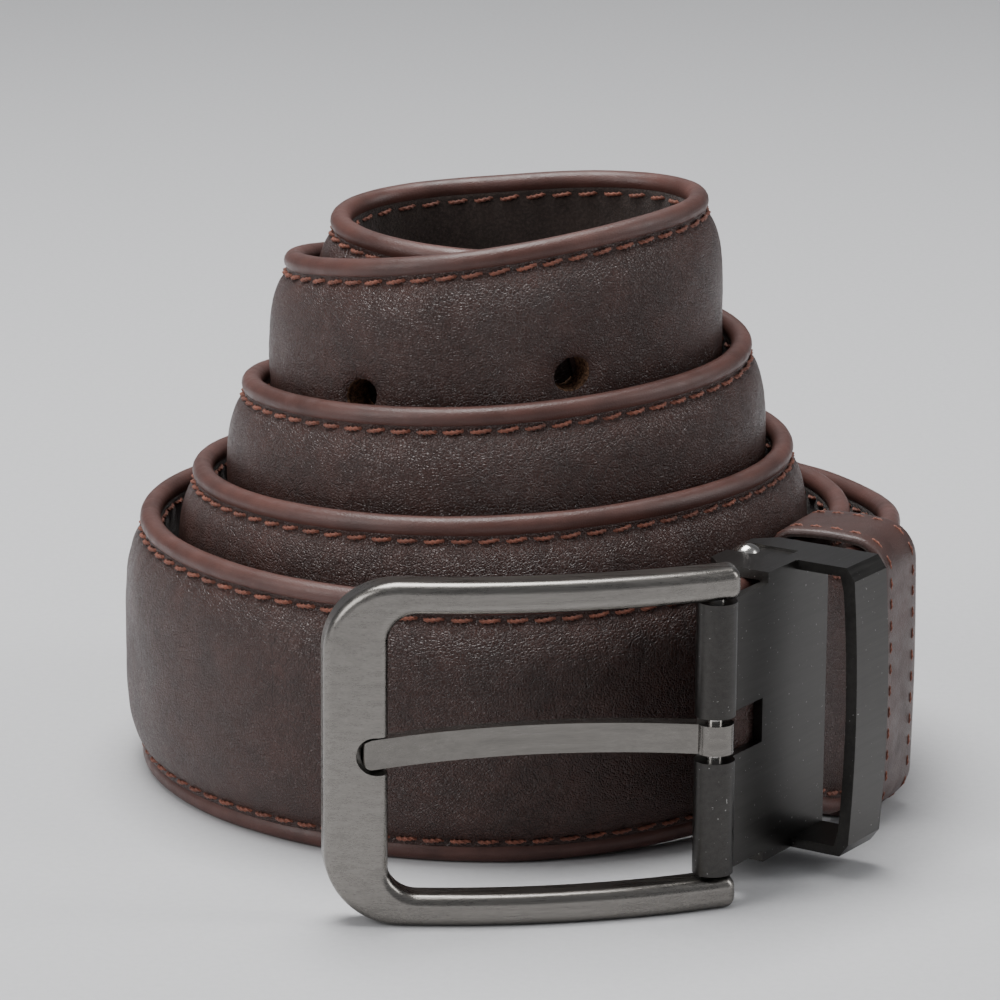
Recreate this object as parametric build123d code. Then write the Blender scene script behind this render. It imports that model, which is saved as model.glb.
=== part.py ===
"""Leather dress belt, rolled into a rising coil, with a hinged clamp buckle.

Millimetres, +Z up, origin under the middle of the whole belt on the floor.
The strap is wound anticlockwise seen from above.  Its place along the winding
is given in turns: 0 is the right side of the outer turn, 0.25 the back,
0.5 the left, 0.75 the front, and every further turn lies inside the last.
"""

import os
from math import atan2, ceil, cos, degrees, floor, pi, radians, sin

from build123d import *

# --- strap, measured across -------------------------------------------------
STRAP_WIDTH = 34.5
LINING_BACK = -1.4          # distances across the thickness, outwards positive
LINING_FRONT = -0.6
FACE_BACK = 1.3             # as pressed flat inside the clamp
FACE_FRONT = 2.6
FACE_SWELL = 0.6            # how much further the padding pushes the face elsewhere
SWELL_LENGTH = 20.0
LAYER_GAP = 0.1             # air between glued layers keeps the solids apart
BEAD_FRONT = 1.4
BEAD_HEIGHT = 3.6           # rolled edge with the margin that the stitches hold
STITCH_HEIGHT = 2.9         # stitch line above the lower edge
THREAD_WIDTH = 0.6
THREAD_PROUD = 0.3
BOBBIN_PROUD = 0.25
HOLE_RADIUS = 2.2
HOLE_COUNT = 5
HOLE_PITCH = 25.0
HOLE_FIRST_TURN = 3.807     # the hole nearest the tip

# --- strap, along the coil ----------------------------------------------------
COIL_RADIUS = 47.3
TURN_PITCH = 6.1
KEEPER_ROOM = 1.5           # extra step inwards that leaves room for the keeper
KEEPER_ROOM_START = 1.05
KEEPER_ROOM_SPAN = 0.8
ROOM_GIVEN_BACK = 0.6       # the turns above the keeper lie closer again
GIVE_BACK_START = 2.0
GIVE_BACK_SPAN = 1.5
CLAMP_SHIFT = 1.5           # the strap swings outwards on its way into the clamp
CLAMP_SHIFT_END = 0.03
OVAL = 2.5                  # the coil is wider from side to side than front to back
OVAL_SKEW = -0.3
EGG_SIDE = 0.55
EGG_FRONT = 0.93
JOIN_TURN = -0.076          # where the straight length in the clamp joins the coil
TIP_TURN = 5.03
TIP_BEAD_TURNS = 0.02
STATIONS_PER_TURN = 24
# lift of the strap's lower edge off the floor, as (turn, lift)
LIFT = (
    (-0.40, 4.15),
    (-0.118, 4.15),
    (-0.088, 1.78),
    (-0.03, 1.65),
    (0.06, 0.0),
    (0.75, 0.0),
    (0.93, 1.75),
    (1.0, 1.95),
    (1.5, 6.2),
    (2.0, 10.5),
    (2.5, 18.0),
    (3.0, 24.0),
    (3.5, 34.5),
    (4.0, 43.0),
    (4.5, 39.3),
    (5.1, 36.5),
)

# --- clamp housing; x runs from the hinge along the strap, y towards its back ---
HINGE_TO_JOIN = 38.5
BUCKLE_MIDDLE = 21.4        # height of the buckle's middle above the floor
BARREL_RADIUS = 2.5
BARREL_HALF = 17.1
HOUSING_HALF = 18.5
WALL = 1.2
PLATE_FRONT = -1.3
PLATE_BACK = -0.1
STEP_X = 10.0
HOUSING_END = 25.0
WALL_BACK = 8.2
STRAP_START = 4.8
LOOP_START = 17.0
LOOP_FRONT = -9.4
LOOP_THICKNESS = 1.5
LOOP_BOW = 0.7
LOOP_REACH = 2.0            # how far the bar's corners reach back to the side arms
LOOP_CUT = 1.2
LOOP_OUTER_RISE = 1.6
LOOP_INNER_RISE = 1.9
CORNER_CUT = 2.4            # on the free corners of the side walls
PRONG_GAP = 2.8
PRONG_SLOT_END = 9.2
SWAGE_WIDTH = 4.4
SWAGE_DEPTH = 0.35
SWAGE_START = 0.6

# --- pins and jaw ----------------------------------------------------------------
HINGE_PIN_RADIUS = 1.0
HINGE_PIN_HALF = 19.3
HINGE_PIN_CHAMFER = 0.2
RUNNING_FIT = 0.06
CLAMP_PIN_X = 18.5
CLAMP_PIN_Y = 6.6
CLAMP_PIN_RADIUS = 0.9
CLAMP_HEAD_RADIUS = 1.65
CLAMP_HEAD_HEIGHT = 0.9
JAW_BOSS_RADIUS = 1.65
JAW_HALF = 16.7
JAW_START = 6.0
JAW_FRONT = 4.8
JAW_BACK = 6.0
JAW_TOOTH_TIP = 4.35
JAW_TEETH = 3
JAW_TOOTH_PITCH = 1.3
JAW_TOOTH_ROOT = 0.1        # how far a tooth is sunk into the plate

# --- buckle frame; x runs from the hinge to the end bar, y outwards ------------------
FRAME_REST_ANGLE = 188.5    # direction of the frame, degrees from the +X axis
FRAME_LENGTH = 47.6
FRAME_HALF = 21.4
WINDOW_HALF = 17.5
BAR_WIDTH = 7.6
RAIL_TAIL = 2.6
FRAME_THICKNESS = 4.8
FRAME_BOW = 2.8
FRAME_CORNER = 9.0
WINDOW_CORNER = 3.6
FRAME_EDGE = 1.3
NOTCH_DEPTH = 3.9
NOTCH_HALF = 2.35
NOTCH_FLOOR = -0.35
HINGE_BORE_DEPTH = 2.2

# --- prong --------------------------------------------------------------------------
PRONG_HALF = 1.85
PRONG_LOOP_RADIUS = 2.3
PRONG_THICKNESS = 2.0
PRONG_LENGTH = 43.2
PRONG_TIP_Y = 1.4
PRONG_TIP_LENGTH = 1.0
PRONG_TIP_CORNER = 1.4
PRONG_SAG = -2.6
PRONG_SAG_AT = 0.45         # share of the length where the prong dips most
PRONG_ROOT_X = 1.6
PRONG_ROOT_TOP = 0.9
PRONG_ROOT_BOTTOM = -1.4

# --- keeper; x runs along the strap, y outwards, from the middle of the outer turn -------
KEEPER_TURN = -0.062
KEEPER_WIDTH = 11.0
KEEPER_OUTSIDE = 4.75
KEEPER_INSIDE = -11.6
KEEPER_BOTTOM = 0.2
KEEPER_TOP = 37.85
KEEPER_WALL = 1.15
KEEPER_LINING = 0.35
KEEPER_CORNER = 2.6
KEEPER_STITCH_AT = 3.7
KEEPER_THREAD = 0.5
KEEPER_THREAD_DEPTH = 0.3
STAPLE_LENGTH = 7.0
STAPLE_WIRE = 0.7
STAPLE_DEPTH = 0.4
STAPLE_HEIGHT = 18.0


def smooth_step(x):
    x = min(max(x, 0.0), 1.0)
    return x * x * (3 - 2 * x)


def coil_point(turn):
    """Middle of the strap's thickness on the coil, seen from above."""
    a = 2 * pi * turn
    r = COIL_RADIUS - TURN_PITCH * turn
    r -= KEEPER_ROOM * smooth_step((turn - KEEPER_ROOM_START) / KEEPER_ROOM_SPAN)
    r += ROOM_GIVEN_BACK * smooth_step((turn - GIVE_BACK_START) / GIVE_BACK_SPAN)
    shift_span = CLAMP_SHIFT_END - JOIN_TURN
    r += CLAMP_SHIFT * smooth_step((CLAMP_SHIFT_END - turn) / shift_span)
    r += OVAL * cos(2 * a) + OVAL_SKEW * sin(2 * a)
    r += EGG_SIDE * cos(3 * a) + EGG_FRONT * sin(3 * a)
    return Vector(r * cos(a), r * sin(a))


def direction(turn):
    """Unit vector along the strap, away from the clamp."""
    turn = max(turn, JOIN_TURN)
    step = 1e-4
    return (coil_point(turn + step) - coil_point(turn - step)).normalized()


def outward(turn):
    along = direction(turn)
    return Vector(along.Y, -along.X)


def strap_point(turn):
    """Like coil_point, with the straight length inside the clamp added."""
    if turn >= JOIN_TURN:
        return coil_point(turn)
    length = (JOIN_TURN - turn) * 2 * pi * COIL_RADIUS
    return coil_point(JOIN_TURN) - direction(JOIN_TURN) * length


def lift(turn):
    """Smooth curve through the LIFT stations that never overshoots them."""
    slopes = [(b[1] - a[1]) / (b[0] - a[0]) for a, b in zip(LIFT, LIFT[1:])]
    tangents = [slopes[0]]
    for before, after in zip(slopes, slopes[1:]):
        steady = before * after > 0
        tangents.append(2 * before * after / (before + after) if steady else 0.0)
    tangents.append(slopes[-1])
    i = 0
    while i < len(LIFT) - 2 and turn > LIFT[i + 1][0]:
        i += 1
    (t0, z0), (t1, z1) = LIFT[i], LIFT[i + 1]
    span = t1 - t0
    x = min(max((turn - t0) / span, 0.0), 1.0)
    start = z0 * (1 + 2 * x) * (1 - x) ** 2 + span * tangents[i] * x * (1 - x) ** 2
    end = z1 * x * x * (3 - 2 * x) - span * tangents[i + 1] * x * x * (1 - x)
    return start + end


def turn_at(distance):
    """Turn number of the straight length at a distance from the hinge."""
    return JOIN_TURN - (HINGE_TO_JOIN - distance) / (2 * pi * COIL_RADIUS)


def stations(start, end):
    """Turn numbers shared by every layer, so that their flats lie parallel."""
    first = ceil(start * STATIONS_PER_TURN + 0.05)
    last = floor(end * STATIONS_PER_TURN - 0.05)
    inner = [i / STATIONS_PER_TURN for i in range(first, last + 1)]
    return [start, *inner, end]


def flat(*corners):
    return Face(Wire.make_polygon(corners, close=True))


def swell(turn):
    """0 inside the clamp and 1 where the padding fills the strap."""
    clamp_end = turn_at(HOUSING_END)
    full = turn_at(HOUSING_END + SWELL_LENGTH)
    return smooth_step((turn - clamp_end) / (full - clamp_end))


def band(start, end, back, front, low, high, swell_back=0.0, swell_front=0.0):
    """Closed solid that follows the strap between two turn numbers."""
    rings = []
    for turn in stations(start, end):
        middle = strap_point(turn)
        out = outward(turn)
        rear = back + swell_back * swell(turn)
        fore = front + swell_front * swell(turn)
        ring = []
        for across, up in ((rear, low), (fore, low), (fore, high), (rear, high)):
            spot = middle + out * across
            ring.append(Vector(spot.X, spot.Y, lift(turn) + up))
        rings.append(ring)
    faces = [flat(*rings[0]), flat(*rings[-1])]
    for (a, b, c, d), (e, f, g, h) in zip(rings, rings[1:]):
        faces += [flat(b, f, g, c), flat(a, d, h, e)]
        faces += [flat(a, e, f), flat(a, f, b), flat(d, c, g), flat(d, g, h)]
    solid = Solid(Shell(faces))
    return solid if solid.volume > 0 else Solid(solid.wrapped.Reversed())


def cross_box(x0, x1, y0, y1, z0, z1):
    """Box between two opposite corners."""
    block = Box(x1 - x0, y1 - y0, z1 - z0)
    return Pos((x0 + x1) / 2, (y0 + y1) / 2, (z0 + z1) / 2) * block


def upright(radius, z0, z1, x=0.0, y=0.0):
    """Cylinder standing along Z."""
    return Pos(x, y, (z0 + z1) / 2) * Cylinder(radius, z1 - z0)


HOUSING_X = direction(JOIN_TURN)
HOUSING_OUT = outward(JOIN_TURN)
HINGE = coil_point(JOIN_TURN) - HOUSING_X * HINGE_TO_JOIN + HOUSING_OUT * FACE_FRONT
HINGE_SPOT = Vector(HINGE.X, HINGE.Y, BUCKLE_MIDDLE)
HOUSING_PLANE = Plane(origin=HINGE_SPOT, x_dir=HOUSING_X, z_dir=(0, 0, 1))
FRAME_X = Vector(cos(radians(FRAME_REST_ANGLE)), sin(radians(FRAME_REST_ANGLE)))
FRAME_PLANE = Plane(origin=HINGE_SPOT, x_dir=FRAME_X, z_dir=(0, 0, 1))


def strap_parts():
    begin = turn_at(STRAP_START)
    inner_end = TIP_TURN - TIP_BEAD_TURNS
    bead_low = BEAD_HEIGHT
    bead_high = STRAP_WIDTH - BEAD_HEIGHT
    low = bead_low + LAYER_GAP
    high = bead_high - LAYER_GAP
    face = band(begin, inner_end, FACE_BACK, FACE_FRONT, low, high, FACE_SWELL, FACE_SWELL)
    padding_back = LINING_FRONT + LAYER_GAP
    padding_front = FACE_BACK - LAYER_GAP
    padding = band(begin, inner_end, padding_back, padding_front, low, high, 0.0, FACE_SWELL)
    lining = band(begin, inner_end, LINING_BACK, LINING_FRONT, low, high)
    for hole in hole_cutters():
        face = face - hole
        padding = padding - hole
        lining = lining - hole
    parts = {
        "strap_face_leather": face,
        "strap_padding": padding,
        "strap_lining": lining,
        "edge_bead_top": band(begin, TIP_TURN, LINING_BACK, BEAD_FRONT, bead_high, STRAP_WIDTH),
        "edge_bead_bottom": band(begin, TIP_TURN, LINING_BACK, BEAD_FRONT, 0.0, bead_low),
        "edge_bead_tip": band(inner_end + 0.001, TIP_TURN, LINING_BACK, BEAD_FRONT, low, high),
    }
    thread_start = turn_at(HOUSING_END + 0.5)
    lines = {"bottom": STITCH_HEIGHT, "top": STRAP_WIDTH - STITCH_HEIGHT}
    for name, height in lines.items():
        thread_low = height - THREAD_WIDTH / 2
        thread_high = height + THREAD_WIDTH / 2
        thread_front = BEAD_FRONT + THREAD_PROUD
        thread_back = LINING_BACK - BOBBIN_PROUD
        parts["face_stitching_" + name] = band(
            thread_start, inner_end, BEAD_FRONT, thread_front, thread_low, thread_high
        )
        parts["lining_stitching_" + name] = band(
            thread_start, inner_end, thread_back, LINING_BACK, thread_low, thread_high
        )
    return parts


def hole_turns():
    """Turn numbers of the holes, from the one nearest the tip."""
    turns = []
    turn = HOLE_FIRST_TURN
    for _ in range(HOLE_COUNT):
        turns.append(turn)
        walked = 0.0
        while walked < HOLE_PITCH:
            walked += (strap_point(turn) - strap_point(turn - 0.001)).length
            turn -= 0.001
    return turns


def hole_cutters():
    cutters = []
    front = FACE_FRONT + FACE_SWELL
    across_middle = (LINING_BACK + front) / 2
    depth = front - LINING_BACK + 1.5
    for turn in hole_turns():
        middle = strap_point(turn)
        out = outward(turn)
        height = lift(turn) + STRAP_WIDTH / 2
        across = Plane(origin=(middle.X, middle.Y, height), z_dir=out)
        cutters.append(across * Pos(0, 0, across_middle) * Cylinder(HOLE_RADIUS, depth))
    return cutters


def clamp_housing():
    barrel = upright(BARREL_RADIUS, -BARREL_HALF, BARREL_HALF)
    tongue = cross_box(0, STEP_X + 0.5, PLATE_FRONT, PLATE_BACK, -BARREL_HALF, BARREL_HALF)
    plate = cross_box(STEP_X, HOUSING_END, PLATE_FRONT, PLATE_BACK, -HOUSING_HALF, HOUSING_HALF)
    body = barrel + tongue + plate
    for side in (-1, 1):
        z0, z1 = sorted((side * (HOUSING_HALF - WALL), side * HOUSING_HALF))
        wall = cross_box(STEP_X, HOUSING_END, PLATE_FRONT, WALL_BACK, z0, z1)
        rear_edge = wall.edges().filter_by(Axis.Z).sort_by(Axis.X)[-2:].sort_by(Axis.Y)[-1]
        front_edge = wall.edges().filter_by(Axis.Z).sort_by(Axis.X)[:2].sort_by(Axis.Y)[-1]
        wall = chamfer([rear_edge, front_edge], CORNER_CUT)
        arm_front = LOOP_FRONT + LOOP_REACH
        arm = cross_box(LOOP_START, HOUSING_END, arm_front, PLATE_FRONT, z0, z1)
        body += wall + arm
    body += metal_loop()
    beyond = BARREL_RADIUS + 1
    body -= cross_box(-beyond, PRONG_SLOT_END, -beyond, beyond, -PRONG_GAP, PRONG_GAP)
    for side in (-1, 1):
        z0, z1 = sorted((side * (HOUSING_HALF - SWAGE_DEPTH), side * (HOUSING_HALF + 1)))
        x0 = CLAMP_PIN_X - SWAGE_WIDTH / 2
        body -= cross_box(x0, x0 + SWAGE_WIDTH, SWAGE_START, WALL_BACK + 1, z0, z1)
    body -= upright(HINGE_PIN_RADIUS, -HOUSING_HALF, HOUSING_HALF)
    body -= clamp_pin_bore(CLAMP_PIN_RADIUS)
    return body


def clamp_pin_bore(radius):
    """Cutter that runs past both ends of the clamp pin."""
    return upright(radius, -HOUSING_HALF - 1, HOUSING_HALF + 1, CLAMP_PIN_X, CLAMP_PIN_Y)


def metal_loop():
    """Bowed bar of the fixed loop with its two cut corners."""
    half = HOUSING_HALF
    inner = HOUSING_HALF - WALL
    front = LOOP_FRONT
    back = LOOP_FRONT + LOOP_THICKNESS
    arm = LOOP_FRONT + LOOP_REACH
    outer_rise = half - LOOP_OUTER_RISE
    inner_rise = inner - LOOP_INNER_RISE
    outside = ((front, outer_rise), (front - LOOP_BOW, 0), (front, -outer_rise))
    inside = ((back, -inner_rise), (back - LOOP_BOW, 0), (back, inner_rise))
    with BuildSketch(Plane.YZ) as outline:
        with BuildLine():
            Polyline((arm, half), (front + LOOP_CUT, half), outside[0])
            ThreePointArc(*outside)
            Polyline(outside[-1], (front + LOOP_CUT, -half), (arm, -half))
            Polyline((arm, -half), (arm, -inner), inside[0])
            ThreePointArc(*inside)
            Polyline(inside[-1], (arm, inner), (arm, half))
        make_face()
    bar = extrude(outline.sketch, HOUSING_END - LOOP_START)
    return Pos(LOOP_START, 0, 0) * bar


def clamp_jaw():
    boss = upright(JAW_BOSS_RADIUS, -JAW_HALF, JAW_HALF, CLAMP_PIN_X, CLAMP_PIN_Y)
    jaw = boss + cross_box(JAW_START, CLAMP_PIN_X, JAW_FRONT, JAW_BACK, -JAW_HALF, JAW_HALF)
    for i in range(JAW_TEETH):
        root = JAW_START + i * JAW_TOOTH_PITCH
        points = (
            (root, JAW_FRONT + JAW_TOOTH_ROOT),
            (root + JAW_TOOTH_PITCH / 2, JAW_TOOTH_TIP),
            (root + JAW_TOOTH_PITCH, JAW_FRONT + JAW_TOOTH_ROOT),
        )
        tooth = extrude(make_face(Polyline(*points, close=True)), 2 * JAW_HALF)
        jaw += Pos(0, 0, -JAW_HALF) * tooth
    return jaw - clamp_pin_bore(CLAMP_PIN_RADIUS + RUNNING_FIT)


def clamp_pin():
    seat = HOUSING_HALF - SWAGE_DEPTH
    pin = upright(CLAMP_PIN_RADIUS, -seat, seat, CLAMP_PIN_X, CLAMP_PIN_Y)
    dome_radius = (CLAMP_HEAD_RADIUS**2 + CLAMP_HEAD_HEIGHT**2) / (2 * CLAMP_HEAD_HEIGHT)
    for side in (-1, 1):
        ball = Pos(0, 0, side * (seat + CLAMP_HEAD_HEIGHT - dome_radius)) * Sphere(dome_radius)
        z0, z1 = sorted((side * seat, side * (seat + 2)))
        cap = ball & upright(CLAMP_HEAD_RADIUS + 1, z0, z1)
        pin += Pos(CLAMP_PIN_X, CLAMP_PIN_Y, 0) * cap
    return pin


def hinge_pin():
    pin = upright(HINGE_PIN_RADIUS, -HINGE_PIN_HALF, HINGE_PIN_HALF)
    return chamfer(pin.edges().filter_by(GeomType.CIRCLE), HINGE_PIN_CHAMFER)


def bow_radius():
    half_chord = (FRAME_LENGTH - BAR_WIDTH / 2) / 2
    return (half_chord**2 + FRAME_BOW**2) / (2 * FRAME_BOW), half_chord


def bowed_slab(thickness, height):
    """Part of a wide ring that bows outwards between the hinge and the bar."""
    radius, half_chord = bow_radius()
    ring = upright(radius + thickness / 2, -height, height)
    ring -= upright(radius - thickness / 2, -height, height)
    return Pos(half_chord, FRAME_BOW - radius, 0) * ring


def standing_prism(outline):
    """Outline in length and height, made deep enough to cut any buckle piece."""
    depth = 30
    face_on = Plane(origin=(0, depth / 2, 0), x_dir=(1, 0, 0), z_dir=(0, -1, 0))
    return extrude(face_on * outline, depth)


def rounded_end(x0, x1, half_height, corner):
    """Rectangle from x0 to x1 whose two corners at x1 are rounded."""
    outline = Pos((x0 + x1) / 2, 0) * Rectangle(x1 - x0, 2 * half_height)
    return fillet(outline.vertices().sort_by(Axis.X)[-2:], corner)


def buckle_frame():
    window_end = FRAME_LENGTH - BAR_WIDTH
    outline = rounded_end(-RAIL_TAIL, FRAME_LENGTH, FRAME_HALF, FRAME_CORNER)
    window = rounded_end(-2 * RAIL_TAIL, window_end, WINDOW_HALF, WINDOW_CORNER)
    slab = bowed_slab(FRAME_THICKNESS, FRAME_HALF + 5)
    frame = standing_prism(outline - window) & slab
    frame = fillet(frame.edges(), FRAME_EDGE)
    notch_centre = window_end + NOTCH_DEPTH - NOTCH_HALF
    notch_top = NOTCH_FLOOR + 8
    notch = cross_box(
        window_end - 2, notch_centre, NOTCH_FLOOR, notch_top, -NOTCH_HALF, NOTCH_HALF
    )
    notch_end = Rot(90, 0, 0) * Cylinder(NOTCH_HALF, notch_top - NOTCH_FLOOR)
    notch += Pos(notch_centre, (notch_top + NOTCH_FLOOR) / 2, 0) * notch_end
    bore_half = WINDOW_HALF + HINGE_BORE_DEPTH
    bore = upright(HINGE_PIN_RADIUS + RUNNING_FIT, -bore_half, bore_half)
    return frame - notch - bore


def prong():
    """Flat bar that loops round the hinge pin and dips in the middle."""
    half = PRONG_THICKNESS / 2
    tip = PRONG_LENGTH
    neck = tip - PRONG_TIP_LENGTH
    dip = tip * PRONG_SAG_AT
    root_top = (PRONG_ROOT_X, PRONG_ROOT_TOP)
    root_bottom = (PRONG_ROOT_X, PRONG_ROOT_BOTTOM)
    neck_top = (neck, PRONG_TIP_Y + half)
    neck_bottom = (neck, PRONG_TIP_Y - half)
    with BuildSketch() as outline:
        with BuildLine():
            Spline(root_top, (dip, PRONG_SAG + half), neck_top)
            ThreePointArc(neck_top, (tip, PRONG_TIP_Y), neck_bottom)
            Spline(neck_bottom, (dip, PRONG_SAG - half), root_bottom)
            Line(root_bottom, root_top)
        make_face()
    blade = Pos(0, 0, -PRONG_HALF) * extrude(outline.sketch, 2 * PRONG_HALF)
    body = blade + upright(PRONG_LOOP_RADIUS, -PRONG_HALF, PRONG_HALF)
    plan = rounded_end(-2 * PRONG_LOOP_RADIUS, tip, PRONG_HALF, PRONG_TIP_CORNER)
    body = body & standing_prism(plan)
    return body - upright(HINGE_PIN_RADIUS + RUNNING_FIT, -PRONG_HALF - 1, PRONG_HALF + 1)


def keeper_ring(grow, width):
    """Closed rounded ring of the keeper's outside, made smaller by grow."""
    depth = KEEPER_OUTSIDE - KEEPER_INSIDE - 2 * grow
    height = KEEPER_TOP - KEEPER_BOTTOM - 2 * grow
    corner = max(KEEPER_CORNER - grow, 0.8)
    outline = RectangleRounded(depth, height, corner)
    across = (KEEPER_OUTSIDE + KEEPER_INSIDE) / 2
    middle = (KEEPER_TOP + KEEPER_BOTTOM) / 2
    block = extrude(Plane.YZ * outline, width / 2, both=True)
    return Pos(0, across, middle) * block


def keeper_parts():
    split = KEEPER_WALL - KEEPER_LINING
    leather = keeper_ring(0, KEEPER_WIDTH) - keeper_ring(split, KEEPER_WIDTH + 2)
    lining = keeper_ring(split, KEEPER_WIDTH) - keeper_ring(KEEPER_WALL, KEEPER_WIDTH + 2)
    parts = {"keeper_lining": lining}
    for name, side in (("front", -1), ("rear", 1)):
        thread = keeper_ring(0, KEEPER_THREAD) - keeper_ring(KEEPER_THREAD_DEPTH, KEEPER_WIDTH)
        thread = Pos(side * KEEPER_STITCH_AT, 0, 0) * thread
        leather -= thread
        parts["keeper_stitching_" + name] = thread
    y0 = KEEPER_INSIDE
    z0 = STAPLE_HEIGHT - STAPLE_WIRE / 2
    half = STAPLE_LENGTH / 2 - 1
    staple = cross_box(-half, half, y0, y0 + STAPLE_DEPTH, z0, z0 + STAPLE_WIRE)
    leather -= staple
    parts["keeper_leather"] = leather
    parts["keeper_staple"] = staple
    return parts


def keeper_plane():
    """Across the strap at the keeper: x back along it, y outwards."""
    spot = strap_point(KEEPER_TURN)
    back = direction(KEEPER_TURN) * -1
    return Plane(origin=(spot.X, spot.Y, 0), x_dir=back, z_dir=(0, 0, 1))


def all_parts():
    parts = strap_parts()
    parts["clamp_housing"] = HOUSING_PLANE * clamp_housing()
    parts["clamp_jaw"] = HOUSING_PLANE * clamp_jaw()
    parts["clamp_pin"] = HOUSING_PLANE * clamp_pin()
    parts["hinge_pin"] = HOUSING_PLANE * hinge_pin()
    parts["buckle_frame"] = FRAME_PLANE * buckle_frame()
    parts["prong"] = FRAME_PLANE * prong()
    for name, shape in keeper_parts().items():
        parts[name] = keeper_plane() * shape
    return parts


def main():
    os.makedirs("parts", exist_ok=True)
    parts = all_parts()
    shapes = [Compound(obj=p.wrapped) for p in parts.values()]
    whole = Compound(children=shapes).bounding_box()
    middle = (whole.min + whole.max) / 2
    shift = Vector(-middle.X, -middle.Y, -whole.min.Z)
    for name, shape in parts.items():
        moved = shape.moved(Location(shift))
        export_step(moved, "parts/" + name + ".step")
        print(name, round(moved.volume, 1), len(moved.solids()))
    jaw_spot = HOUSING_PLANE.from_local_coords(Vector(CLAMP_PIN_X, CLAMP_PIN_Y, 0))
    for name, spot in {"hinge": HINGE_SPOT, "clamp pin": jaw_spot}.items():
        print(name, [round(v, 3) for v in (spot + shift)])
    print("housing direction", round(degrees(atan2(HOUSING_X.Y, HOUSING_X.X)), 2))
    print("keeper slides along", [round(v, 4) for v in direction(KEEPER_TURN)])
    print("overall", whole.size)


if __name__ == "__main__":
    main()
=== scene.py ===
"""Looks of a rolled-up leather dress belt with a hinged clamp buckle.

Everything is in metres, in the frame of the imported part.  The strap is wound
anticlockwise seen from above; its place along the winding is given in turns,
0 at the right side of the outer turn, 0.25 at the back, 0.5 at the left and
0.75 at the front, and every further turn lies inside the last.
"""

from math import cos, pi, radians, sin, tau

import bpy
import numpy as np
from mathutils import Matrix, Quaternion, Vector


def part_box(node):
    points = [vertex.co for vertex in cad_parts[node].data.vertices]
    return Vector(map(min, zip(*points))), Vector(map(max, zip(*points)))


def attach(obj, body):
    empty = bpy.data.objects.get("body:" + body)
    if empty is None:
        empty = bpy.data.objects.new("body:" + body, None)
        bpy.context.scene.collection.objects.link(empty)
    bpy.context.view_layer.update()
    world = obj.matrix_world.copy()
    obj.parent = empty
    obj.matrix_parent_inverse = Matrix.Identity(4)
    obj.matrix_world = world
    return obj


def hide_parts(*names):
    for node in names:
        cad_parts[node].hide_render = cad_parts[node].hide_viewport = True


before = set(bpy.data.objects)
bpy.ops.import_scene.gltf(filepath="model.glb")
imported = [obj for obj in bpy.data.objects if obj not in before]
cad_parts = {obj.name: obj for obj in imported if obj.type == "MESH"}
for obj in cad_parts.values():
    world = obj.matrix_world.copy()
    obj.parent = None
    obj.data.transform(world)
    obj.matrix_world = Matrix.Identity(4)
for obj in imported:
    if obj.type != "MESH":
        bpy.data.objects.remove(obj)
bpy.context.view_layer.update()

bl_info = {
    "name": "Leather Belt Maker",
    "version": (1, 0, 0),
    "blender": (4, 5, 0),
    "location": "View3D > Sidebar > Belt",
    "description": "Builds the leather, thread and metal of a rolled-up dress belt",
    "category": "Add Mesh",
}

# --- the coil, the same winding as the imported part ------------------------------
COIL_RADIUS = 0.0473
TURN_PITCH = 0.0061
KEEPER_ROOM = 0.0015
KEEPER_ROOM_START = 1.05
KEEPER_ROOM_SPAN = 0.8
ROOM_GIVEN_BACK = 0.0006
GIVE_BACK_START = 2.0
GIVE_BACK_SPAN = 1.5
CLAMP_SHIFT = 0.0015
CLAMP_SHIFT_END = 0.03
OVAL = 0.0025
OVAL_SKEW = -0.0003
EGG_SIDE = 0.00055
EGG_FRONT = 0.00093
JOIN_TURN = -0.076
TIP_TURN = 5.03
HINGE_TO_JOIN = 0.0385
STRAP_START = 0.0048
CLAMP_END = 0.025
SWELL_LENGTH = 0.020
PLATE_SIDE = 0.0026         # distance of the strap's middle from the hinge axis
LIFT = np.array(
    (
        (-0.40, 0.00415),
        (-0.118, 0.00415),
        (-0.088, 0.00178),
        (-0.03, 0.00165),
        (0.06, 0.0),
        (0.75, 0.0),
        (0.93, 0.00175),
        (1.0, 0.00195),
        (1.5, 0.0062),
        (2.0, 0.0105),
        (2.5, 0.0180),
        (3.0, 0.0240),
        (3.5, 0.0345),
        (4.0, 0.0430),
        (4.5, 0.0393),
        (5.1, 0.0365),
    )
)
HOLE_FIRST_TURN = 3.807
HOLE_COUNT = 5
HOLE_PITCH = 0.025

# --- which way the metal is brushed, seen from above -----------------------------
FRAME_WAY = radians(188.5)
HOUSING_WAY = radians(57.19)

# --- how finely the layers are divided -------------------------------------------
CELLS_PER_HOLE_PITCH = 34
CELL = HOLE_PITCH / CELLS_PER_HOLE_PITCH
HOLE_CELLS = 3              # a hole's radius, in cells
HOLE_REACH = 9              # cells round a hole that are drawn into circles
BACK_REACH = 6
HOLE_RADIUS = HOLE_CELLS * CELL
# heights above the strap's edge where the layers have extra rows
FACE_EDGE_ROWS = [0.0019, 0.0022, 0.0026, 0.00295, 0.0033, 0.0037, 0.0042, 0.0048]
LINING_EDGE_ROWS = [0.0018, 0.0022, 0.0026, 0.00295, 0.0034, 0.004]
EDGE_SIDES = 18             # sides of the rolled edge's section
EDGE_STEP = 0.0012
THREAD_STEP = 0.0008

# --- the face's section -----------------------------------------------------------
PRESSED_CROWN = 0.00245     # the face's place inside the clamp
CROWN_START = 0.0031        # where the bulge rises from the margin
UNDER_ROLL = 0.00205        # the face is tucked under the rolled edge below this
TUCKED_PLACE = 0.0005

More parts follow.
